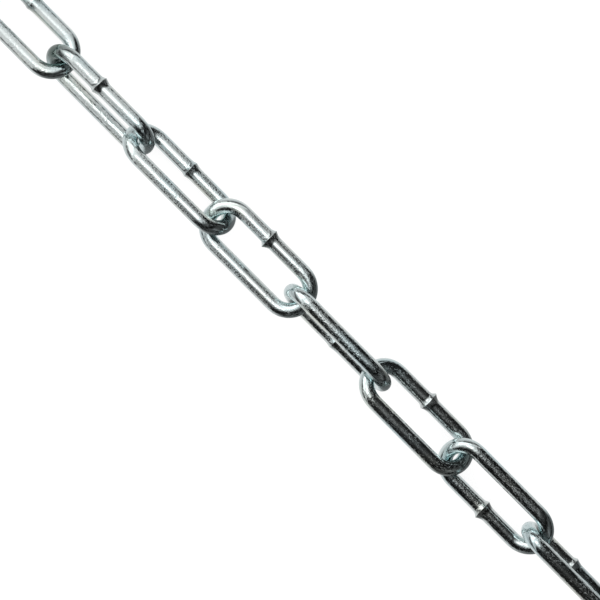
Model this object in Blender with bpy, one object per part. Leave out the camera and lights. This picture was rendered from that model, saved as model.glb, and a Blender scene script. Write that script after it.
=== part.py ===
"""One metre of welded long-link steel chain, lying on a level floor.

Twenty-four links of one wire, each bent to a slot with round ends and closed by a butt weld in
the middle of one leg. Near both ends of the length the links lean left and right in turn, as a
slack chain does. The middle of the length is twisted, so its links lie flat, lean or stand on
edge. Metres, +Z up, the chain along X, and the origin on the floor under the middle.
"""

import math

import bpy
from mathutils import Matrix, Vector

# The wire and the link
WIRE_DIAMETER = 0.0058
PITCH = 0.042
LINK_WIDTH = 0.0224
WIRE_SIDES = 12
BOW_SEGMENTS = 8

# The butt weld: how far along the leg from the ridge, and how thick the wire is there
WELD_RIDGE_SWELL = 1.36
WELD_PROFILE = (
    (-0.0032, 1.0),
    (-0.0012, 1.13),
    (0.0, WELD_RIDGE_SWELL),
    (0.0012, 1.13),
    (0.0032, 1.0),
)

# How the chain lies: rolls in degrees about its length, where 0 is flat and 90 on edge
LINK_COUNT = 24
LEAN = 45.0
FIRST_TWISTED = 6
TWISTED_ROLLS = (-50, 20, -76, -18, 65, -50, 15, 81, -31, 35, -79, -13, 56, -40)
CONTACT_GAP = 0.00045

# Welds that the twist has carried over to the leg at -Y, and welds that are off the middle
CARRIED_OVER = (2, 4, 6, 8, 13, 15, 17, 18, 19, 20, 21, 22, 23, 24)
WELD_SHIFTS = {
    9: -0.0018,
    10: -0.0034,
    11: 0.0001,
    12: -0.0021,
    13: 0.0005,
    14: -0.0006,
    15: 0.0001,
    16: -0.0025,
}

# Zinc plate over bright steel
ZINC_COLOUR = (0.62, 0.64, 0.65, 1.0)
ZINC_ROUGHNESS = 0.28

WIRE_RADIUS = WIRE_DIAMETER / 2
BOW_RADIUS = (LINK_WIDTH - WIRE_DIAMETER) / 2
CROWN_TO_CROWN = PITCH + WIRE_DIAMETER
WIRE_FLAT_RADIUS = WIRE_RADIUS * math.cos(math.pi / WIRE_SIDES)


def clear_scene():
    for item in list(bpy.data.objects):
        bpy.data.objects.remove(item)


def zinc_material():
    material = bpy.data.materials.new("zinc_plated_steel")
    material.use_nodes = True
    shader = material.node_tree.nodes["Principled BSDF"]
    shader.inputs["Base Color"].default_value = ZINC_COLOUR
    shader.inputs["Metallic"].default_value = 1.0
    shader.inputs["Roughness"].default_value = ZINC_ROUGHNESS
    return material


def link_rolls():
    """The roll of each link in degrees: left and right in turn on both sides of the twist."""
    before = [LEAN if number % 2 else -LEAN for number in range(1, FIRST_TWISTED)]
    first_after = FIRST_TWISTED + len(TWISTED_ROLLS)
    after = [-LEAN if number % 2 else LEAN for number in range(first_after, LINK_COUNT + 1)]
    return [*before, *TWISTED_ROLLS, *after]


def weld_side(number):
    """+1 where the weld is on the leg at +Y of the link's own frame, and -1 at the other."""
    return -1 if number in CARRIED_OVER else 1


def standing_height(number, roll):
    """How high a link's middle line is above the floor that its lower leg touches."""
    weld_is_low = weld_side(number) * roll < 0
    if weld_is_low:
        half_thickness = WIRE_RADIUS * WELD_RIDGE_SWELL
    elif abs(roll) == LEAN:
        half_thickness = WIRE_FLAT_RADIUS
    else:
        half_thickness = WIRE_RADIUS
    return BOW_RADIUS * math.sin(math.radians(abs(roll))) + half_thickness


def crown_distance(roll_before, roll_after):
    """How far apart the crowns of two linked bows lie, from wire middle to wire middle.

    Bows that cross squarely touch at their crowns. Where they cross at less than a right angle
    they touch beside the crowns, which are then further apart: it is the distance at which two
    rings of the bows' radius, crossing at that angle, come no nearer than a wire and the gap.
    """
    between = WIRE_DIAMETER + CONTACT_GAP
    crossing = math.radians(roll_after - roll_before)
    spread = 2 - 2 * abs(math.cos(crossing))
    if 2 * between <= spread * BOW_RADIUS:
        return between
    reach = (4 - spread) * (BOW_RADIUS**2 - between**2 / spread)
    return 2 * BOW_RADIUS - math.sqrt(reach)


def link_spans(rolls):
    """(crown gap at the left, crown gap at the right, distance between the contacts) of each link."""
    shared = [crown_distance(a, b) for a, b in zip(rolls, rolls[1:])]
    square = WIRE_DIAMETER + CONTACT_GAP
    gaps = [square, *shared, square]
    return [
        (left, right, CROWN_TO_CROWN - (left + right) / 2)
        for left, right in zip(gaps, gaps[1:])
    ]


def contact_points(rolls, spans):
    """Where each link takes hold of the next, and the two free ends, from left to right."""
    heights = [standing_height(n, roll) for n, roll in enumerate(rolls, start=1)]
    levels = [heights[0], *map(max, heights, heights[1:]), heights[-1]]
    rises = [after - before for before, after in zip(levels, levels[1:])]
    steps = [math.sqrt(span**2 - rise**2) for (_, _, span), rise in zip(spans, rises)]
    along = -sum(steps) / 2
    points = [Vector((along, 0, levels[0]))]
    for step, level in zip(steps, levels[1:]):
        along += step
        points.append(Vector((along, 0, level)))
    return points


def link_matrix(start, end, left_gap, right_gap, roll):
    """The link's own frame: X from its left crown to its right, Y across, the origin in its middle."""
    along = (end - start).normalized()
    level = Vector((0, 0, 1)).cross(along).normalized()
    across = Matrix.Rotation(math.radians(roll), 3, along) @ level
    normal = along.cross(across)
    middle = (start - along * left_gap / 2 + end + along * right_gap / 2) / 2
    turn = Matrix((along, across, normal)).transposed()
    return Matrix.Translation(middle) @ turn.to_4x4()


def centreline(side, shift):
    """(point, thickness) round the link: the right bow, the leg at -Y, the left bow, the leg at +Y."""
    bow_centre = CROWN_TO_CROWN / 2 - BOW_RADIUS
    quarter = math.pi / 2
    line = []
    for end in (1, -1):
        for step in range(BOW_SEGMENTS + 1):
            angle = quarter - end * math.pi * step / BOW_SEGMENTS
            if end < 0:
                angle = -quarter - math.pi * step / BOW_SEGMENTS
            x = end * bow_centre + BOW_RADIUS * math.cos(angle)
            line.append(((x, BOW_RADIUS * math.sin(angle)), 1.0))
        if end == -side:
            # The right bow is followed by the leg at -Y, walked leftwards, and the left bow by the other
            welds = [((shift + offset, side * BOW_RADIUS), swell) for offset, swell in WELD_PROFILE]
            line += welds if side > 0 else welds[::-1]
    return line


def make_link(number, matrix, side, material, collection):
    curve = bpy.data.curves.new(f"link_{number:02d}", "CURVE")
    curve.dimensions = "3D"
    curve.bevel_depth = WIRE_RADIUS
    curve.bevel_resolution = WIRE_SIDES // 2 - 2
    line = centreline(side, WELD_SHIFTS.get(number, 0.0))
    spline = curve.splines.new("POLY")
    spline.points.add(len(line) - 1)
    for point, ((x, y), thickness) in zip(spline.points, line):
        point.co = (x, y, 0, 1)
        point.radius = thickness
    spline.use_cyclic_u = True
    spline.use_smooth = True
    curve.materials.append(material)
    link = bpy.data.objects.new(f"link_{number:02d}", curve)
    link.matrix_world = matrix
    collection.objects.link(link)
    return link


def main():
    clear_scene()
    chain = bpy.data.collections.new("long_link_chain")
    bpy.context.scene.collection.children.link(chain)
    material = zinc_material()
    rolls = link_rolls()
    spans = link_spans(rolls)
    points = contact_points(rolls, spans)
    for index, (roll, (left_gap, right_gap, _)) in enumerate(zip(rolls, spans)):
        number = index + 1
        matrix = link_matrix(points[index], points[index + 1], left_gap, right_gap, roll)
        make_link(number, matrix, weld_side(number), material, chain)


main()
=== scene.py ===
"""A length of welded long-link steel chain on a pale floor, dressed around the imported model.

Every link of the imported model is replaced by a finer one: round drawn wire swept round the same
slot, with a butt weld in one leg, under a bright zinc plate with its drawing lines and specks.
"""

from __future__ import annotations

import logging
from dataclasses import dataclass, field
from enum import Enum

import bpy
import numpy as np
from mathutils import Matrix, Vector

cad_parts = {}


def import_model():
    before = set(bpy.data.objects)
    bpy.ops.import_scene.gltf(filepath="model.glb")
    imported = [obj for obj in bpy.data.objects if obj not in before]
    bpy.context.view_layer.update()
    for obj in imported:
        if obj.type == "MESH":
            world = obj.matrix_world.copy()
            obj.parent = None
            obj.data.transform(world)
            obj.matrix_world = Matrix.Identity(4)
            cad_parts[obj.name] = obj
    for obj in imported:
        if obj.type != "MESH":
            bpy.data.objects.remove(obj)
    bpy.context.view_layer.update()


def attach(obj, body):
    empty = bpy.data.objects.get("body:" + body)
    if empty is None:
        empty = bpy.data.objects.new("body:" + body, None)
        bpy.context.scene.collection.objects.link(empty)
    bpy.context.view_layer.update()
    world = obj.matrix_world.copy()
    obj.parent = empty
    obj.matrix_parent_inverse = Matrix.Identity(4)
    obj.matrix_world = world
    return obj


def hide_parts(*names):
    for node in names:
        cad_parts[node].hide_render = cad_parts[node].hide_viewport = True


LOG = logging.getLogger("chain")
MM = 0.001
TAU = 2 * np.pi

# Red, green, blue and alpha, and the (place, brightness) stops of a grey ramp
Colour = tuple[float, float, float, float]
Grade = tuple[tuple[float, float], ...]


class WeldLeg(Enum):
    """The leg of a link that carries its butt weld, by the side of the link's own frame."""

    PLUS_Y = 1
    MINUS_Y = -1


def bell(values: np.ndarray, middle: float, spread: float) -> np.ndarray:
    """A bell curve: 1 at the middle, falling as e to the minus square of the distance over the spread."""
    return np.exp(-(((values - middle) / spread) ** 2))


def chosen(value: float | None, drawn: float) -> float:
    """The value, or the drawn one where there is none."""
    return drawn if value is None else value


@dataclass(frozen=True)
class SlotRoute:
    """The middle line of the wire in a link: two straight legs joined by two round bows, in millimetres.

    Attributes:
        wire_radius: Half the wire's thickness.
        pitch: The link's inside length.
        width: The link's outside width.
        shoulder: The share of a quarter turn over which the bend comes in from the straight leg.
        bend_steps: How many points a quarter turn is worked out at.
        probe: How far before and after a point the line's direction there is taken.
    """

    wire_radius: float = 2.9
    pitch: float = 42.0
    width: float = 22.4
    shoulder: float = 0.22
    bend_steps: int = 400
    probe: float = 0.05

    @property
    def half_width(self) -> float:
        """From the link's middle to the middle line of a leg."""
        return self.width / 2 - self.wire_radius

    @property
    def half_length(self) -> float:
        """From the link's middle to the middle line of a crown."""
        return self.pitch / 2 + self.wire_radius

    @property
    def length(self) -> float:
        """The length of the whole line."""
        return self.loop()[0][-1]

    def quarter(self) -> tuple[np.ndarray, np.ndarray, np.ndarray]:
        """One quarter of the line, from the middle of a leg to a crown.

        The line's direction is the running sum of its curvature. The curvature is 0 along the
        leg, rises as a smooth step over the shoulder, and then keeps its value to the crown.
        The bend is scaled to the half width, and the leg takes what is left of the half length.

        Returns:
            The distance along the line, and the x and y there.
        """
        turn = np.linspace(0, 1, self.bend_steps)
        rise = np.clip(turn / self.shoulder, 0, 1)
        curvature = rise * rise * (3 - 2 * rise)
        heading = np.concatenate([[0], np.cumsum((curvature[1:] + curvature[:-1]) / 2)])
        heading *= np.pi / 2 / heading[-1]
        middle = (heading[1:] + heading[:-1]) / 2
        ahead = np.concatenate([[0], np.cumsum(np.cos(middle))])
        down = np.concatenate([[0], np.cumsum(np.sin(middle))])
        scale = self.half_width / down[-1]
        leg = self.half_length - ahead[-1] * scale
        along = np.concatenate([[0], leg + np.arange(turn.size) * scale])
        x = np.concatenate([[0], leg + ahead * scale])
        y = np.concatenate([[self.half_width], self.half_width - down * scale])
        return along, x, y

    def loop(self) -> tuple[np.ndarray, np.ndarray, np.ndarray]:
        """The whole line, from the middle of the leg at +Y round by +X: the quarter and its mirror images.

        Returns:
            The distance along the line, and the x and y there, with the last point on the first.
        """
        along, x, y = self.quarter()
        half = along[-1] * 2
        far = 2 * half
        along = np.concatenate([along, half - along[-2::-1], half + along[1:], far - along[-2::-1]])
        x = np.concatenate([x, x[-2::-1], -x[1:], -x[-2::-1]])
        y = np.concatenate([y, -y[-2::-1], -y[1:], y[-2::-1]])
        return along, x, y

    def trace(self, at: np.ndarray) -> tuple[np.ndarray, np.ndarray]:
        """The line's points and outward directions at some distances along it.

        The outward direction is square to the way from just before the point to just after it.

        Args:
            at: The distances, from 0 to the line's length.

        Returns:
            The points and the outward directions, an x and a y a row.
        """
        along, x, y = self.loop()
        before = np.mod(at - self.probe, along[-1])
        after = np.mod(at + self.probe, along[-1])
        dx = np.interp(after, along, x) - np.interp(before, along, x)
        dy = np.interp(after, along, y) - np.interp(before, along, y)
        size = np.hypot(dx, dy)
        points = np.column_stack([np.interp(at, along, x), np.interp(at, along, y)])
        return points, np.column_stack([-dy / size, dx / size])


@dataclass(frozen=True)
class ButtWeld:
    """The upset collar and the sharp ridge of flash where the two ends of the wire were butted together.

    Attributes:
        collar: How much thicker than the wire the collar is, as a share of the wire's radius.
        ridge: How much further the ridge stands out, as a share of the wire's radius.
        spur: The angle round the wire at which the ridge stands out most, in radians.
        phase: Turns the ridge's unevenness round the wire, in radians.
        long_side: +1 if the ridge's long slope goes on along the line, and -1 if it comes before it.
        collar_reach: How far the collar reaches from the weld, in millimetres.
        long_slope: How far the long slope reaches from the crest, in millimetres.
        short_slope: How far the short slope reaches from the crest, in millimetres.
        hollow: The power that hollows the slopes, where 1 leaves them straight.
        level: The mean height of the ridge round the wire, in ridges.
        rise: The size of each of the two waves that lift it at the spur, in ridges.
        ragged: The size of the small waves round it, in ridges.
        waver: How far the crest wavers along the wire, in millimetres.
        fine_waver: How far it wavers in shorter waves, in millimetres.
    """

    collar: float
    ridge: float
    spur: float
    phase: float
    long_side: int
    collar_reach: float = 2.2
    long_slope: float = 2.7
    short_slope: float = 1.7
    hollow: float = 1.7
    level: float = 0.95
    rise: float = 0.20
    ragged: float = 0.06
    waver: float = 0.18
    fine_waver: float = 0.08

    def swell(self, away: np.ndarray, around: np.ndarray) -> np.ndarray:
        """How thick the wire is near the weld, as a share of its radius.

        It is 1, plus a bell curve for the collar, plus a tent for the ridge. The tent has a long
        slope on one side of its crest and a short one on the other, and raising it to a power
        hollows both. Its crest wavers along the wire by sines of one and three waves a turn. Its
        height is the level, plus cosines of one and two waves a turn from the spur, plus a sine
        of five, so it is tallest at the spur, lower at the far side and lowest between them.

        Args:
            away: The distance along the line from the ridge, in millimetres.
            around: The angle round the wire, in radians, 0 at the outside of the link.

        Returns:
            The thickness at each place, of the two arrays' shared shape.
        """
        from_spur = around - self.spur
        uneven = self.level + self.rise * np.cos(from_spur) + self.rise * np.cos(2 * from_spur)
        uneven = uneven + self.ragged * np.sin(5 * around + self.phase)
        crest = self.waver * np.sin(around + self.phase)
        crest = crest + self.fine_waver * np.sin(3 * around - self.phase)
        past = (away - crest) * self.long_side
        fall = np.where(past > 0, past / self.long_slope, -past / self.short_slope)
        tent = np.clip(1 - fall, 0, 1) ** self.hollow
        return 1 + self.collar * bell(away, 0.0, self.collar_reach) + self.ridge * uneven * tent


@dataclass(frozen=True)
class PaintedDarkening:
    """A darker place painted on a link's plate: on link 10 a painted shade, standing in for the dark
    reflection in the crook of its bow; on link 9 a faint darkening about the weld.

    Attributes:
        middle: How far along the wire from the weld its middle is, in millimetres.
        reach: How far it reaches along the wire, in millimetres.
        strength: How strong it is in its middle, from 0 to 1.
    """

    middle: float = 0.0
    reach: float = 1.0
    strength: float = 0.0

    def depth(self, away: np.ndarray, length: float) -> np.ndarray:
        """How strong it is at distances from the weld: a bell curve, the shorter way round the wire."""
        apart = np.abs(away - self.middle)
        return self.strength * bell(np.minimum(apart, length - apart), 0.0, self.reach)


@dataclass(frozen=True)
class LinkLook:
    """What one link has of its own. A value that is None is left to chance.

    Attributes:
        weld_shift: How far the weld is from the middle of its leg, in millimetres along +X.
        ridge: How far the weld's ridge stands out, as a share of the wire's radius.
        spur: The angle round the wire at which the ridge stands out most, in radians.
        coarseness: How grainy the plate is, where 1 is very grainy.
        painted_darkening: Where the plate is painted darker, such as painted shade in the crook of a bow.
    """

    weld_shift: float = 0.0
    ridge: float | None = None
    spur: float | None = None
    coarseness: float | None = None
    painted_darkening: PaintedDarkening = PaintedDarkening()


@dataclass(frozen=True)
class LinkPlace:
    """Where one link lies.

    Attributes:
        middle: Its middle, in millimetres.
        turn: The directions of its length, its width and its normal, one a column.
    """

    middle: np.ndarray
    turn: np.ndarray


@dataclass(frozen=True)
class ChainLay:
    """How the chain lies, by the same rule as the solids: each link's roll, contacts and heights.

    Attributes:
        lean: The roll of the links that lean left and right in turn, in degrees.
        first_twisted: The number of the first link in the twisted middle.
        twisted: The rolls of the twisted links, in degrees.
        count: How many links there are.
        gap: The room between two linked bows, in millimetres.
        ridge_swell: The thickness at a solid's weld ridge, as a share of the wire's radius.
        solid_sides: How many flats the wire of the solids has.
        carried_over: The links whose weld the twist has carried over to the leg at -Y.
    """

    lean: float = 45.0
    first_twisted: int = 6
    twisted: tuple[float, ...] = (-50, 20, -76, -18, 65, -50, 15, 81, -31, 35, -79, -13, 56, -40)
    count: int = 24
    gap: float = 0.45
    ridge_swell: float = 1.36
    solid_sides: int = 12
    carried_over: frozenset[int] = frozenset({2, 4, 6, 8, 13, 15, *range(17, 25)})

    def rolls(self) -> np.ndarray:
        """The roll of every link: left and right in turn on both sides of the twisted middle.

        Returns:
            The rolls in degrees, the first link's first.
        """
        numbers = np.arange(1, self.count + 1)
        odd = numbers % 2 == 1
        last = self.first_twisted + len(self.twisted) - 1
        rolls = np.where(odd == (numbers <= last), self.lean, -self.lean)
        rolls[self.first_twisted - 1 : last] = self.twisted
        return rolls

    def weld_leg(self, number: int) -> WeldLeg:
        """The leg that carries the weld of the link with this number."""
        return WeldLeg.MINUS_Y if number in self.carried_over else WeldLeg.PLUS_Y

    def crown_gaps(self, route: SlotRoute) -> np.ndarray:
        """How far apart the crowns of each two linked bows lie, the free ends' included.

        Bows that cross squarely touch at their crowns. At a smaller angle they touch beside
        them: the distance is then the one at which two crossing rings come no nearer than a
        wire and the gap.

        Args:
            route: The middle line of a link.

        Returns:
            One distance for each end of the chain and each pair of links, in millimetres.
        """
        radius = route.half_width
        between = 2 * route.wire_radius + self.gap
        crossing = np.radians(np.diff(self.rolls()))
        spread = 2 - 2 * np.abs(np.cos(crossing))
        reach = np.clip((4 - spread) * (radius**2 - between**2 / spread), 0, None)
        shared = np.where(2 * between <= spread * radius, between, 2 * radius - np.sqrt(reach))
        return np.concatenate([[between], shared, [between]])

    def heights(self, route: SlotRoute) -> np.ndarray:
        """The height of each contact between links, at which every lower leg clears the floor.

        Args:
            route: The middle line of a link.

        Returns:
            One height for each end of the chain and each pair of links, in millimetres.
        """
        rolls = self.rolls()
        numbers = range(1, self.count + 1)
        sides = np.array([self.weld_leg(number).value for number in numbers])
        flat = route.wire_radius * np.cos(np.pi / self.solid_sides)
        thick = np.where(np.abs(rolls) == self.lean, flat, route.wire_radius)
        thick = np.where(sides * rolls < 0, route.wire_radius * self.ridge_swell, thick)
        own = route.half_width * np.sin(np.radians(np.abs(rolls))) + thick
        return np.concatenate([own[:1], np.maximum(own[:-1], own[1:]), own[-1:]])

    def contacts(self, route: SlotRoute) -> np.ndarray:
        """Where each link takes hold of the next, and the chain's two free ends.

        Args:
            route: The middle line of a link.

        Returns:
            One point a row, in millimetres.
        """
        gaps = self.crown_gaps(route)
        heights = self.heights(route)
        spans = 2 * route.half_length - (gaps[:-1] + gaps[1:]) / 2
        steps = np.sqrt(spans**2 - np.diff(heights) ** 2)
        along = np.concatenate([[0], np.cumsum(steps)]) - steps.sum() / 2
        return np.column_stack([along, np.zeros_like(along), heights])

    def places(self, route: SlotRoute) -> list[LinkPlace]:
        """Where every link lies.

        Args:
            route: The middle line of a link.

        Returns:
            The places, the first link's first.
        """
        points = self.contacts(route)
        gaps = self.crown_gaps(route)
        places = []
        for index, roll in enumerate(np.radians(self.rolls())):
            start, end = points[index], points[index + 1]
            along = (end - start) / np.linalg.norm(end - start)
            level = np.cross([0, 0, 1], along)
            level /= np.linalg.norm(level)
            upright = np.cross(along, level)
            across = level * np.cos(roll) + upright * np.sin(roll)
            middle = (start + end + along * (gaps[index + 1] - gaps[index]) / 2) / 2
            places.append(LinkPlace(middle, np.column_stack([along, across, np.cross(along, across)])))
        return places


@dataclass
class WeldedLink:
    """One link of the chain: round wire swept round the slot and closed by its weld.

    Attributes:
        number: The link's number, from 1 at the chain's -X end.
        place: Where the link lies.
        leg: The leg that carries the weld.
        weld: The weld's shape.
        look: What the link has of its own.
        coarseness: How grainy the plate is, where 1 is very grainy.
        route: The wire's middle line.
        sides: How many faces go round the wire.
        step: The length of a face along the wire, in millimetres.
        fine_step: The length of a face along the wire at the weld, in millimetres.
        fine_reach: How far from the weld the short faces go, in millimetres.
        bend_start: How far from the link's middle the bending starts to thin the wire, in millimetres.
        bend_length: How far on from there it takes to thin it fully, in millimetres.
        bend_power: How late the thinning comes in, where 1 is evenly.
        crown_flat: How much the bending thins the wire at the bows, as a share of its radius.
        crown_wide: How much of that the wire gains across.
        scorch_reach: How far along the wire the weld has scorched the plate, in millimetres.
        pattern_step: How far on along the wire each link's pattern starts, in millimetres.
    """

    number: int
    place: LinkPlace
    leg: WeldLeg
    weld: ButtWeld
    look: LinkLook
    coarseness: float
    route: SlotRoute
    sides: int = 32
    step: float = 0.6
    fine_step: float = 0.1
    fine_reach: float = 4.2
    bend_start: float = 14.0
    bend_length: float = 9.0
    bend_power: float = 1.5
    crown_flat: float = 0.03
    crown_wide: float = 0.4
    scorch_reach: float = 2.6
    pattern_step: float = 137.0

    def stations(self) -> np.ndarray:
        """Distances along the wire from the weld's ridge, close together near it and even elsewhere.

        Returns:
            Distances from 0 up to the length of the wire, in millimetres.
        """
        length, reach = self.route.length, self.fine_reach
        near = np.arange(0, reach, self.fine_step)
        far = np.linspace(reach, length - reach, round((length - 2 * reach) / self.step))
        return np.concatenate([near, far, length - near[:0:-1], [length]])

    def surface(self, away: np.ndarray, around: np.ndarray) -> np.ndarray:
        """The link's skin as a function of the distance along the wire and the angle round it.

        A point is the middle line's point, plus the radius there times (cosine of the angle
        times the outward direction in the link's plane, plus sine of the angle times the
        link's normal). The bends thin the wire in the link's plane and widen it across.

        Args:
            away: Distances along the wire from the weld, in millimetres.
            around: Angles round the wire, in radians.

        Returns:
            The points, in metres, as an array of distances by angles.
        """
        length = self.route.length
        shift = self.look.weld_shift
        ridge_at = shift if self.leg is WeldLeg.PLUS_Y else length / 2 - shift
        middle, outward = self.route.trace(np.mod(away + ridge_at, length))
        signed = np.where(away > length / 2, away - length, away)
        radius = self.route.wire_radius * self.weld.swell(signed[:, None], around[None, :])
        into_bend = (np.abs(middle[:, :1]) - self.bend_start) / self.bend_length
        thinning = self.crown_flat * np.clip(into_bend, 0, 1) ** self.bend_power
        in_plane = radius * np.cos(around) * (1 - thinning)
        off_plane = radius * np.sin(around) * (1 + self.crown_wide * thinning)
        x = middle[:, :1] + in_plane * outward[:, :1]
        y = middle[:, 1:] + in_plane * outward[:, 1:]
        local = np.stack([x, y, off_plane], axis=-1)
        return (local @ self.place.turn.T + self.place.middle) * MM

    def build(self) -> bpy.types.Object:
        """Makes the link's mesh, its object, and the attributes that its plate's pattern reads.

        Returns:
            The link.
        """
        away = self.stations()
        around = np.arange(self.sides) / self.sides * TAU
        points = self.surface(away, around)
        rows, sides = points.shape[0] - 1, self.sides
        row, side = np.meshgrid(np.arange(rows), np.arange(sides), indexing="ij")
        after, beside = (row + 1) % rows, (side + 1) % sides
        faces = np.stack(
            [row * sides + side, row * sides + beside, after * sides + beside, after * sides + side],
            axis=-1,
        ).reshape(-1, 4)
        mesh = bpy.data.meshes.new(f"link_{self.number:02d}_wire")
        mesh.from_pydata(points[:-1].reshape(-1, 3).tolist(), [], faces.tolist())
        mesh.shade_smooth()
        self.write_wire_places(mesh, away, around)
        self.write_marks(mesh, away)
        link = bpy.data.objects.new(mesh.name, mesh)
        bpy.context.scene.collection.objects.link(link)
        return link

    def write_wire_places(self, mesh: bpy.types.Mesh, away: np.ndarray, around: np.ndarray) -> None:
        """Writes each face corner's place on the wire as if the wire were straight.

        The first number is the distance along the wire, with a start of its own for each link,
        and the other two go round the wire's section, all in millimetres.

        Args:
            mesh: The link's mesh, one face a station and side.
            away: The distance of each station along the wire.
            around: The angle of each side round the wire.
        """
        row, side = np.meshgrid(np.arange(away.size - 1), np.arange(self.sides), indexing="ij")
        rows = np.stack([row, row, row + 1, row + 1], axis=-1).reshape(-1)
        sides = np.stack([side, side + 1, side + 1, side], axis=-1).reshape(-1) % self.sides
        along = away[rows] + self.number * self.pattern_step
        radius = self.route.wire_radius
        values = np.column_stack([along, radius * np.cos(around[sides]), radius * np.sin(around[sides])])
        layer = mesh.attributes.new("wire", "FLOAT_VECTOR", "CORNER")
        layer.data.foreach_set("vector", values.astype(np.float32).reshape(-1))

    def write_marks(self, mesh: bpy.types.Mesh, away: np.ndarray) -> None:
        """Writes how near each point is to the weld, how much painted darkening it has (painted shade in
        the crook of a bow), how far in a bow, and how coarse.

        The nearness to the weld is a bell curve. The place in a bow is the fourth power of the
        sine that is 0 at the weld and in the middle of the other leg.

        Args:
            mesh: The link's mesh, one ring of points a station.
            away: The distance of each station along the wire.
        """
        rings, length = away[:-1], away[-1]
        marks = {
            "near_weld": bell(np.minimum(rings, length - rings), 0.0, self.scorch_reach),
            "painted_darkening": self.look.painted_darkening.depth(rings, length),
            "bow": np.sin(TAU * rings / length) ** 4,
            "coarseness": np.full(rings.size, self.coarseness),
        }
        for name, values in marks.items():
            layer = mesh.attributes.new(name, "FLOAT", "POINT")
            layer.data.foreach_set("value", np.repeat(values, self.sides).astype(np.float32))


@dataclass(frozen=True)
class Pattern:
    """A fractal noise that follows the wire.

    Attributes:
        along: How many features it has in a millimetre along the wire.
        across: How many features it has in a millimetre across the wire.
        detail: How many finer layers it has.
    """

    along: float
    across: float
    detail: float = 0.0


class NodeBench:
    """A short way to add and join shader nodes in one tree."""

    def __init__(self, tree: bpy.types.NodeTree) -> None:
        """Keeps the tree and clears it of nodes."""
        self.tree = tree
        tree.nodes.clear()

    def add(self, kind: str, inputs: dict | None = None, **settings: object) -> bpy.types.Node:
        """Adds a node.

        Args:
            kind: The node's type name, without its ShaderNode start.
            inputs: Values or sockets for its inputs, by name or number.
            settings: The node's own properties.

        Returns:
            The node.
        """
        node = self.tree.nodes.new(f"ShaderNode{kind}")
        for name, value in settings.items():
            setattr(node, name, value)
        for name, value in (inputs or {}).items():
            if isinstance(value, bpy.types.NodeSocket):
                self.tree.links.new(value, node.inputs[name])
            else:
                node.inputs[name].default_value = value
        return node

    def attribute(self, name: str, output: str = "Fac") -> bpy.types.NodeSocket:
        """Reads an attribute of the mesh."""
        return self.add("Attribute", attribute_name=name).outputs[output]

    def math(self, operation: str, *values: bpy.types.NodeSocket | float) -> bpy.types.NodeSocket:
        """Works out one step of arithmetic on sockets or numbers."""
        return self.add("Math", dict(enumerate(values)), operation=operation).outputs[0]

    def mix(
        self, share: bpy.types.NodeSocket, first: bpy.types.NodeSocket | Colour, second: Colour
    ) -> bpy.types.NodeSocket:
        """Mixes a share of the second colour into the first."""
        return self.add("Mix", {0: share, 6: first, 7: second}, data_type="RGBA").outputs[2]

    def ramp(self, value: bpy.types.NodeSocket, stops: Grade) -> bpy.types.NodeSocket:
        """Reads a value through a grey ramp.

        Args:
            value: The socket to read.
            stops: The ramp's (place, brightness) stops.

        Returns:
            The ramp's output.
        """
        node = self.add("ValToRGB", {0: value})
        elements = node.color_ramp.elements
        while len(elements) < len(stops):
            elements.new(0.5)
        for element, (place, bright) in zip(elements, stops):
            element.position = place
            element.color = (bright, bright, bright, 1)
        return node.outputs[0]

    def grade(
        self, value: bpy.types.NodeSocket, span: tuple[float, float], stops: Grade
    ) -> bpy.types.NodeSocket:
        """Reads a value through a grey ramp whose stops are in the value's own unit.

        Args:
            value: The socket to read.
            span: The lowest and the highest value that the ramp tells apart.
            stops: The ramp's (value, brightness) stops.

        Returns:
            The ramp's output.
        """
        low, high = span
        share = self.add("MapRange", {"Value": value, "From Min": low, "From Max": high}).outputs[0]
        return self.ramp(share, tuple(((place - low) / (high - low), bright) for place, bright in stops))

    def noise(self, wire: bpy.types.NodeSocket, pattern: Pattern) -> bpy.types.NodeSocket:
        """Makes a pattern's noise.

        Args:
            wire: The places on the wire, in millimetres.
            pattern: How fine the noise is.

        Returns:
            The noise, from 0 to 1.
        """
        stretch = (pattern.along, pattern.across, pattern.across)
        place = self.add("VectorMath", {0: wire, 1: stretch}, operation="MULTIPLY").outputs[0]
        inputs = {"Vector": place, "Scale": 1.0, "Detail": pattern.detail}
        return self.add("TexNoise", inputs).outputs[0]


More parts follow.
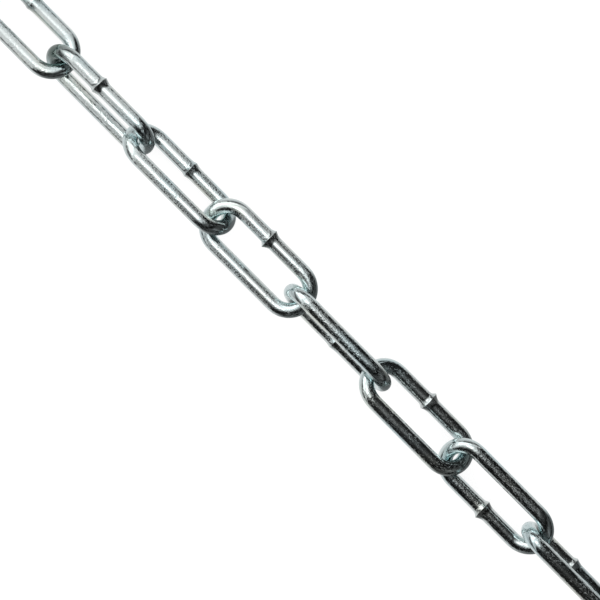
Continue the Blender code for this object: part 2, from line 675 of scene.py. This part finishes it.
@dataclass(frozen=True)
class ZincPlate:
    """Bright zinc plate over drawn wire: fine lines along it, specks, and faint blue and straw tints.

    Attributes:
        clean: The plate's colour.
        dull: Its colour in the specks and where a weld has scorched it.
        darkened: The colour of the painted darkening, painted shade in the crook of a bow.
        blue: The tint of the thicker passivate.
        straw: The tint of the thinner passivate.
        painted_bow_sheen: A lighter, bluer colour painted on the bows, a painted reflection standing in
            for the bluish light at the joints.
        bow_sheen_share: How much of that painted sheen the crown of a bow has.
        scorch: How much of the dull colour a weld has.
        speck_dulling: How much of the dull colour a speck has.
        smoothest: The least roughness.
        roughest: The most roughness outside the specks.
        matt_spots: How much rougher the specks are.
        line_depth: The height of the drawing lines, as a share of the grain's.
        swell_depth: The height of the wire's slow swells, as a share of the grain's.
        relief: The height of the grain, in millimetres.
        lines: The drawing lines.
        grain: The fine grain of the plate.
        specks: The specks.
        swells: The wire's slow swells.
        patches: The patches in which the plate is grainier.
        clouds: The passivate's clouds.
        line_span: The values of the drawing lines between which the roughness changes.
        pitted: How much of a speck each value of the specks' noise gives.
        rugged: How grainy the plate is at each value of the patches.
        bluish: How much of the blue tint each value of the clouds gives.
        strawy: How much of the straw tint each value of the clouds gives.
    """

    clean: Colour = (0.72, 0.775, 0.77, 1)
    dull: Colour = (0.30, 0.34, 0.34, 1)
    darkened: Colour = (0.10, 0.135, 0.12, 1)
    blue: Colour = (0.56, 0.72, 0.76, 1)
    straw: Colour = (0.78, 0.79, 0.68, 1)
    painted_bow_sheen: Colour = (0.67, 0.815, 0.835, 1)
    bow_sheen_share: float = 0.5
    scorch: float = 0.12
    speck_dulling: float = 0.20
    smoothest: float = 0.03
    roughest: float = 0.075
    matt_spots: float = 0.50
    line_depth: float = 0.10
    swell_depth: float = 0.12
    relief: float = 0.08
    lines: Pattern = Pattern(0.08, 1.8, detail=1.0)
    grain: Pattern = Pattern(1.6, 2.4)
    specks: Pattern = Pattern(0.9, 2.4)
    swells: Pattern = Pattern(0.35, 0.5)
    patches: Pattern = Pattern(0.13, 0.30, detail=2.0)
    clouds: Pattern = Pattern(0.05, 0.16, detail=1.0)
    line_span: tuple[float, float] = (0.35, 0.65)
    pitted: Grade = ((0.61, 0.0), (0.66, 1.0))
    rugged: Grade = ((0.40, 0.30), (0.60, 1.0))
    bluish: Grade = ((0.52, 0.0), (0.70, 0.55))
    strawy: Grade = ((0.30, 0.45), (0.44, 0.0))

    def tint(self, bench: NodeBench, wire: bpy.types.NodeSocket) -> bpy.types.NodeSocket:
        """The plate's colour where it is clean: cloudy blue and straw tints, and a painted bluish sheen on
        the bows.

        Args:
            bench: The material's nodes.
            wire: The places on the wire, in millimetres.

        Returns:
            The colour.
        """
        clouds = bench.noise(wire, self.clouds)
        tinted = bench.mix(bench.ramp(clouds, self.bluish), self.clean, self.blue)
        tinted = bench.mix(bench.ramp(clouds, self.strawy), tinted, self.straw)
        # the bows are painted lighter and bluer: a painted reflection of the bluish light at the joints
        bow_sheen = bench.math("MULTIPLY", bench.attribute("bow"), self.bow_sheen_share)
        return bench.mix(bow_sheen, tinted, self.painted_bow_sheen)

    def material(self) -> bpy.types.Material:
        """Makes the material.

        The specks are rougher than the plate and duller, the welds are duller, and the painted darkening
        (painted shade in the crook of a bow) lies over both. The relief is the grain, where the plate is
        rugged, with the drawing lines and the swells.

        Returns:
            The zinc plate's material.
        """
        material = bpy.data.materials.new("bright_zinc_plate")
        material.use_nodes = True
        bench = NodeBench(material.node_tree)
        wire = bench.attribute("wire", "Vector")
        lines = bench.noise(wire, self.lines)
        rugged = bench.ramp(bench.noise(wire, self.patches), self.rugged)
        rugged = bench.math("MULTIPLY", rugged, bench.attribute("coarseness"))
        specks = bench.ramp(bench.noise(wire, self.specks), self.pitted)
        matt = bench.math("MULTIPLY", specks, rugged)
        low, high = self.line_span
        rough = bench.add(
            "MapRange",
            {
                "Value": lines,
                "From Min": low,
                "From Max": high,
                "To Min": self.smoothest,
                "To Max": self.roughest,
            },
        )
        rough = bench.math("MULTIPLY_ADD", matt, self.matt_spots, rough.outputs[0])

        scorched = bench.math("MULTIPLY", bench.attribute("near_weld"), self.scorch)
        worn = bench.math("MULTIPLY_ADD", matt, self.speck_dulling, scorched)
        colour = bench.mix(worn, self.tint(bench, wire), self.dull)
        # painted darkening: painted shade in the crook of link 10's bow, and a faint darkening about link
        # 9's weld
        colour = bench.mix(bench.attribute("painted_darkening"), colour, self.darkened)

        height = bench.math("MULTIPLY", bench.noise(wire, self.grain), rugged)
        height = bench.math("MULTIPLY_ADD", lines, self.line_depth, height)
        swells = bench.noise(wire, self.swells)
        height = bench.math("MULTIPLY_ADD", swells, self.swell_depth, height)
        bump = bench.add("Bump", {"Strength": 1.0, "Distance": self.relief * MM, "Height": height})
        shader = bench.add(
            "BsdfPrincipled",
            {"Base Color": colour, "Metallic": 1.0, "Roughness": rough, "Normal": bump.outputs[0]},
        )
        bench.add("OutputMaterial", {"Surface": shader.outputs[0]})
        return material


@dataclass
class Chain:
    """The whole length of chain.

    Attributes:
        lay: How it lies.
        route: The middle line of a link.
        plate: Its finish.
        looks: The links that have something of their own.
        collars: The least and the greatest collar of a weld, in wire radii.
        ridges: The least and the greatest ridge of a weld, in wire radii.
        spurs: Where round the wire a ridge may stand out most, in radians.
        coarse: The least and the greatest coarseness of a link's plate.
        seed: Where the chance draws start.
    """

    lay: ChainLay = field(default_factory=ChainLay)
    route: SlotRoute = field(default_factory=SlotRoute)
    plate: ZincPlate = field(default_factory=ZincPlate)
    looks: dict[int, LinkLook] = field(
        default_factory=lambda: {
            # Links 9 and 10 carry painted darkening: link 10's is painted shade in the crook of its left
            # bow
            9: LinkLook(-1.8, ridge=0.10, coarseness=0.8, painted_darkening=PaintedDarkening(0.0, 4.0, 0.25)),
            10: LinkLook(-3.4, ridge=0.26, spur=0.0, coarseness=0.9, painted_darkening=PaintedDarkening(92.3, 6.5, 0.95)),
            11: LinkLook(0.1, ridge=0.18, coarseness=0.8),
            12: LinkLook(-2.1, spur=np.pi, coarseness=0.8),
            13: LinkLook(0.5, ridge=0.12, coarseness=1.1),
            14: LinkLook(-0.6, spur=0.3, coarseness=0.85),
            15: LinkLook(0.1, spur=0.0, coarseness=0.6),
            16: LinkLook(-2.5, ridge=0.26, coarseness=1.0),
        }
    )
    collars: tuple[float, float] = (0.02, 0.07)
    ridges: tuple[float, float] = (0.27, 0.36)
    spurs: tuple[float, float] = (np.pi - 1.0, np.pi + 1.0)
    coarse: tuple[float, float] = (0.6, 1.0)
    seed: int = 7

    def link(self, number: int, place: LinkPlace, chance: np.random.Generator) -> WeldedLink:
        """Settles one link. Every link takes the same number of draws, used or not.

        Args:
            number: The link's number.
            place: Where it lies.
            chance: The source of the draws.

        Returns:
            The link, not yet built.
        """
        look = self.looks.get(number, LinkLook())
        leg = self.lay.weld_leg(number)
        weld = ButtWeld(
            collar=chance.uniform(*self.collars),
            ridge=chosen(look.ridge, chance.uniform(*self.ridges)),
            spur=chosen(look.spur, chance.uniform(*self.spurs)),
            phase=chance.uniform(0, TAU),
            long_side=leg.value,
        )
        coarseness = chosen(look.coarseness, chance.uniform(*self.coarse))
        return WeldedLink(number, place, leg, weld, look, coarseness, self.route)

    def build(self) -> list[bpy.types.Object]:
        """Builds every link in the place of its solid and lets it ride on the same body.

        Returns:
            The links.
        """
        material = self.plate.material()
        chance = np.random.default_rng(self.seed)
        links = []
        for number, place in enumerate(self.lay.places(self.route), start=1):
            link = self.link(number, place, chance).build()
            link.data.materials.append(material)
            node = f"link_{number:02d}"
            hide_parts(node)
            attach(link, node)
            LOG.info("%s rides on %s", link.name, node)
            links.append(link)
        return links


@dataclass
class Studio:
    """The pale floor, the soft lights and the camera that looks straight down.

    The metal mirrors a wide canopy over the chain and, past it, the sky. The canopy's grades are
    in metres from the scene's middle, and the sky's in parts of a direction of length 1.

    Attributes:
        view_width: The width of the floor that the picture shows, in metres.
        lens: The camera's focal length, in millimetres.
        sensor: The camera's sensor width, in millimetres.
        slant: The angle below the picture's right at which the chain runs, in degrees.
        target: The point that the camera looks at, in metres.
        nearest: How near the camera sees, in metres.
        furthest: How far the camera sees, in metres.
        floor_level: The height of the floor, a hair under the chain, in metres.
        floor_reach: Half the floor's side, in metres.
        floor_grey: How pale the floor is.
        floor_roughness: How matt it is.
        floor_glow: How much the floor shines of itself.
        canopy_height: The height of the canopy, in metres.
        canopy_reach: Half the canopy's side, in metres.
        graded: The least and the greatest X and Y between which its fill, key and strip change.
        fill: The canopy's brightness along X.
        key: The brightness along X of the strip in the canopy's middle.
        strip: The brightness of that strip along Y.
        key_strength: The strip's greatest brightness.
        window: The brightness along X of a window far past the chain's -X end.
        beside: The brightness of that window by the distance to either side.
        ground: The sky's brightness along Z, from straight down at -1 to the horizon at 0.
        shade: How much of that is left along X.
        glow: How strong a glow about the horizon is along Z.
        behind: The brightness of that glow along X.
    """

    view_width: float = 0.2210
    lens: float = 180.0
    sensor: float = 36.0
    slant: float = 45.1
    target: tuple[float, float, float] = (0.0008, 0.0, 0.010)
    nearest: float = 0.01
    furthest: float = 60.0
    floor_level: float = -0.0001
    floor_reach: float = 8.0
    floor_grey: float = 0.25
    floor_roughness: float = 0.9
    floor_glow: float = 0.85
    canopy_height: float = 0.30
    canopy_reach: float = 2.2
    graded: tuple[float, float] = (-0.5, 0.5)
    fill: Grade = (
        (-0.50, 0.12),
        (-0.42, 0.35),
        (-0.34, 0.40),
        (-0.24, 0.80),
        (-0.19, 0.78),
        (-0.135, 0.46),
        (-0.083, 0.30),
        (-0.058, 0.05),
        (0.0, 0.015),
        (0.09, 0.003),
        (0.13, 0.02),
        (0.28, 0.002),
        (0.40, 0.05),
    )
    key: Grade = (
        (-0.50, 0.60),
        (-0.30, 0.50),
        (-0.22, 0.12),
        (-0.18, 0.20),
        (-0.135, 0.75),
        (-0.083, 1.0),
        (-0.032, 1.0),
        (-0.024, 0.55),
        (-0.008, 0.48),
        (0.004, 0.75),
        (0.020, 0.60),
        (0.034, 0.18),
        (0.046, 0.32),
        (0.058, 0.22),
        (0.070, 0.02),
        (0.10, 0.06),
        (0.11, 0.16),
        (0.122, 0.05),
        (0.17, 0.02),
        (0.25, 0.0),
        (0.40, 0.0),
        (0.50, 0.08),
    )
    strip: Grade = (
        (-0.30, 0.0),
        (-0.13, 0.20),
        (-0.05, 1.0),
        (0.03, 1.0),
        (0.09, 0.55),
        (0.25, 0.15),
        (0.45, 0.0),
    )
    key_strength: float = 1.7
    window: Grade = ((-1.3, 0.0), (-0.915, 0.5), (-0.288, 0.9), (-0.2, 0.0))
    beside: Grade = ((0.25, 1.0), (0.45, 0.0))
    ground: Grade = ((-1.0, 0.82), (-0.40, 0.77), (-0.16, 0.52), (-0.03, 0.10), (0.0, 0.02))
    shade: Grade = ((-1.0, 1.0), (0.04, 1.0), (0.40, 0.22), (1.0, 0.12))
    glow: Grade = ((-0.14, 0.0), (-0.04, 1.0), (0.16, 1.0), (0.32, 0.0))
    behind: Grade = ((-1.0, 0.60), (-0.76, 0.50), (-0.5, 0.0))

    def camera(self) -> None:
        """Sets the camera above the chain, turned so that the chain runs down to the right."""
        data = bpy.data.cameras.new("camera")
        data.lens = self.lens
        data.sensor_width = self.sensor
        data.clip_start = self.nearest
        data.clip_end = self.furthest
        camera = bpy.data.objects.new("camera", data)
        height = self.view_width * self.lens / self.sensor
        turn = Matrix.Rotation(np.radians(self.slant), 4, "Z")
        camera.matrix_world = Matrix.Translation(Vector(self.target) + Vector((0, 0, height))) @ turn
        bpy.context.scene.collection.objects.link(camera)
        bpy.context.scene.camera = camera

    @staticmethod
    def sheet(name: str, height: float, reach: float, faces_down: bool) -> bpy.types.Object:
        """Lays a level square over the scene's middle.

        Args:
            name: The name of the square.
            height: Its height, in metres.
            reach: Half its side, in metres.
            faces_down: Whether it faces down and not up.

        Returns:
            The square.
        """
        mesh = bpy.data.meshes.new(name)
        corners = np.array([[-1, -1], [1, -1], [1, 1], [-1, 1]]) * reach
        if faces_down:
            corners = corners[:, ::-1]
        points = np.column_stack([corners, np.full(4, height)])
        mesh.from_pydata(points.tolist(), [], [(0, 1, 2, 3)])
        square = bpy.data.objects.new(name, mesh)
        bpy.context.scene.collection.objects.link(square)
        return square

    def floor(self) -> None:
        """Lays a wide pale floor under the chain, which the metal doesn't mirror."""
        floor = self.sheet("floor", self.floor_level, self.floor_reach, faces_down=False)
        material = bpy.data.materials.new("pale_floor")
        material.use_nodes = True
        bench = NodeBench(material.node_tree)
        shader = bench.add(
            "BsdfPrincipled",
            {
                "Base Color": (self.floor_grey, self.floor_grey, self.floor_grey, 1),
                "Roughness": self.floor_roughness,
                "Emission Color": (1, 1, 1, 1),
                "Emission Strength": self.floor_glow,
            },
        )
        bench.add("OutputMaterial", {"Surface": shader.outputs[0]})
        floor.data.materials.append(material)
        floor.visible_glossy = False

    def sky(self) -> None:
        """Surrounds the scene with soft light: even for the floor, and light and dark for the metal."""
        world = bpy.data.worlds.new("studio")
        bpy.context.scene.world = world
        world.use_nodes = True
        bench = NodeBench(world.node_tree)
        glossy = bench.add("LightPath").outputs["Is Glossy Ray"]
        way = bench.add("SeparateXYZ", {0: bench.add("TexCoord").outputs["Generated"]}).outputs
        span = (-1.0, 1.0)
        ground = bench.grade(way["Z"], span, self.ground)
        shaded = bench.math("MULTIPLY", ground, bench.grade(way["X"], span, self.shade))
        glow = bench.grade(way["Z"], span, self.glow)
        shaded = bench.math("MULTIPLY_ADD", glow, bench.grade(way["X"], span, self.behind), shaded)
        metal = bench.add("Background", {"Color": shaded, "Strength": 1.0})
        even = bench.add("Background", {"Color": (1, 1, 1, 1), "Strength": 1.0})
        mixed = bench.add("MixShader", {0: glossy, 1: even.outputs[0], 2: metal.outputs[0]})
        bench.add("OutputWorld", {"Surface": mixed.outputs[0]})

    def canopy(self) -> None:
        """Hangs a wide soft light over the chain, which only the metal mirrors.

        Its brightness is the fill, plus the product of the key, the strip and the key's strength,
        plus the product of the window and its sides. It is brighter towards the chain's -X end.
        """
        canopy = self.sheet("canopy", self.canopy_height, self.canopy_reach, faces_down=True)
        material = bpy.data.materials.new("canopy_glow")
        material.use_nodes = True
        bench = NodeBench(material.node_tree)
        place = bench.add("SeparateXYZ", {0: bench.add("TexCoord").outputs["Object"]}).outputs
        fill = bench.grade(place["X"], self.graded, self.fill)
        key = bench.grade(place["X"], self.graded, self.key)
        lit = bench.math("MULTIPLY", key, bench.grade(place["Y"], self.graded, self.strip))
        bright = bench.math("MULTIPLY_ADD", lit, self.key_strength, fill)
        window = bench.grade(place["X"], (self.window[0][0], self.window[-1][0]), self.window)
        beside = bench.ramp(bench.math("ABSOLUTE", place["Y"]), self.beside)
        bright = bench.math("MULTIPLY_ADD", window, beside, bright)
        shader = bench.add("Emission", {"Color": (1, 1, 1, 1), "Strength": bright})
        bench.add("OutputMaterial", {"Surface": shader.outputs[0]})
        canopy.data.materials.append(material)
        canopy.visible_camera = False
        canopy.visible_diffuse = False
        canopy.visible_shadow = False

    def build(self) -> None:
        """Sets the camera, the floor, the sky and the lights."""
        self.camera()
        self.floor()
        self.sky()
        self.canopy()
        view = bpy.context.scene.view_settings
        view.view_transform = "Standard"
        view.look = "None"
        LOG.info("studio: camera, floor, sky and canopy")


def main() -> None:
    """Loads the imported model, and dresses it."""
    logging.basicConfig(level=logging.INFO, format="%(name)s: %(message)s")
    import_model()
    Studio().build()
    links = Chain().build()
    LOG.info("links: %d", len(links))
    LOG.info("sizes written")


if __name__ == "__main__":
    main()
